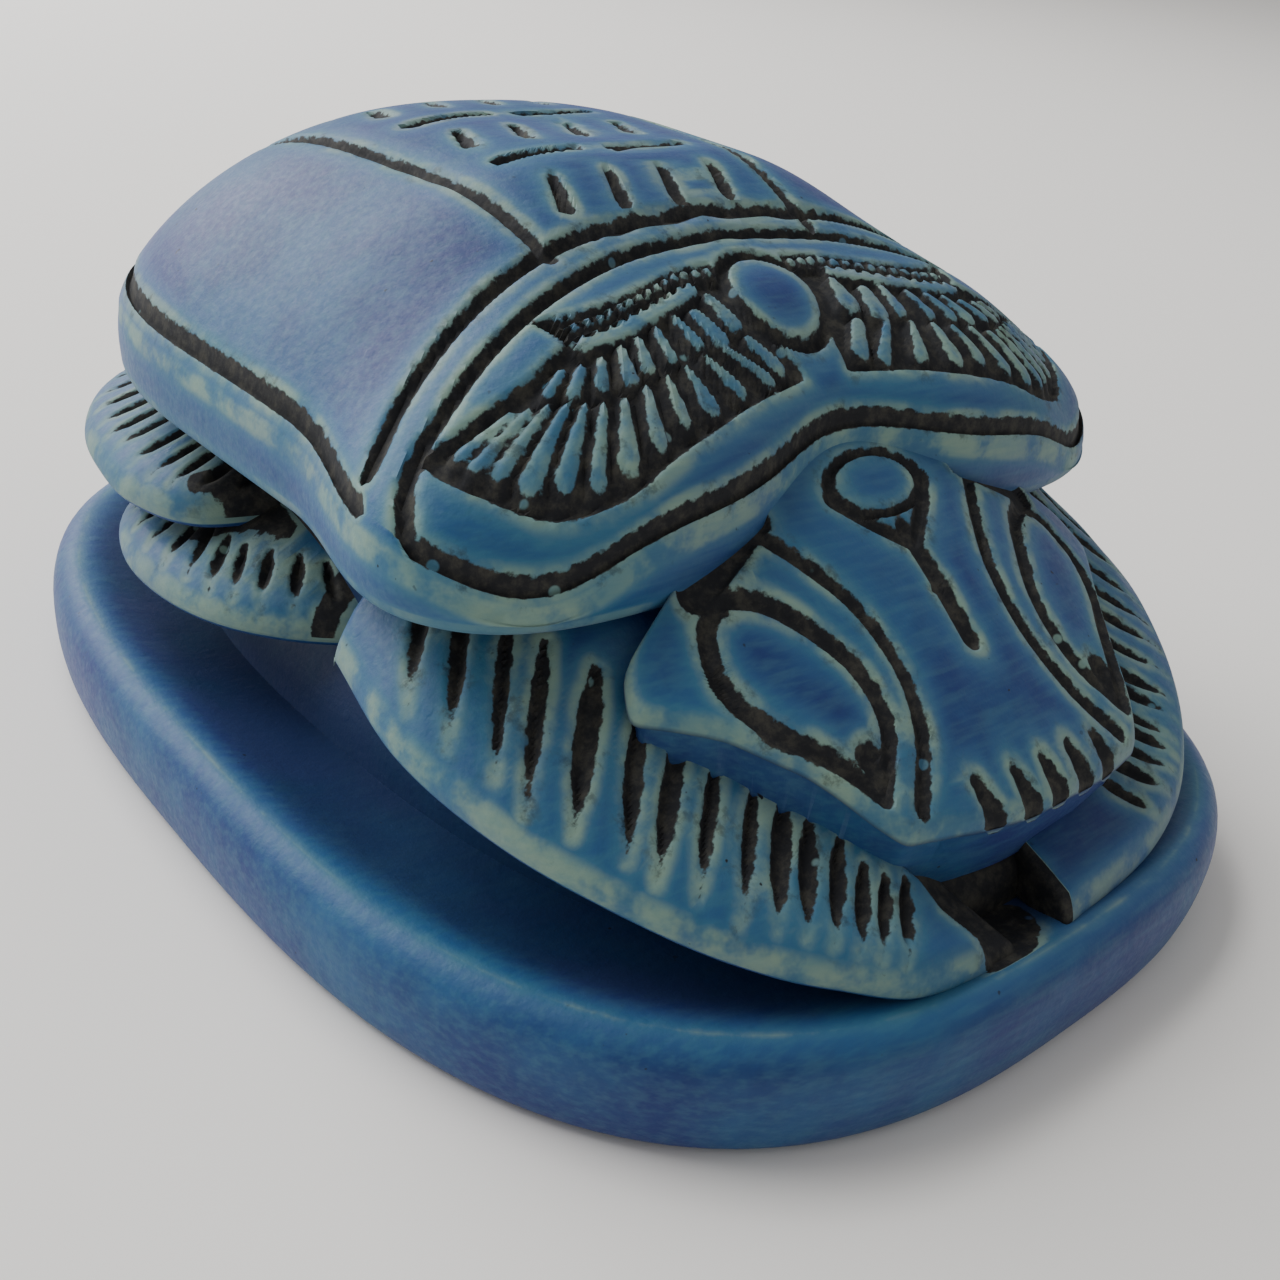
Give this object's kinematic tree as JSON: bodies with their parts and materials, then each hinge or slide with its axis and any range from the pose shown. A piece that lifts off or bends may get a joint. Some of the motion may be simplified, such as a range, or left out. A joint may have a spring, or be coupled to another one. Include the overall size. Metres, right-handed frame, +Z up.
{
  "type": "scarab paperweight",
  "caption": "Beetle figure on an oval base, cast in one piece: domed wing case, winged disc on the pronotum, toothed sloping head and ribbed legs along the sides.",
  "frame": {"origin": "centre of the flat underside of the base", "axes": "+Z up, -Y towards the head, +X across"},
  "size_m": [0.0708, 0.09, 0.0415],
  "materials": {
    "glaze": "satin blue with black paint in the carving"
  },
  "bodies": {
    "root": {"scarab": "glaze"}
  },
  "joints": []
}
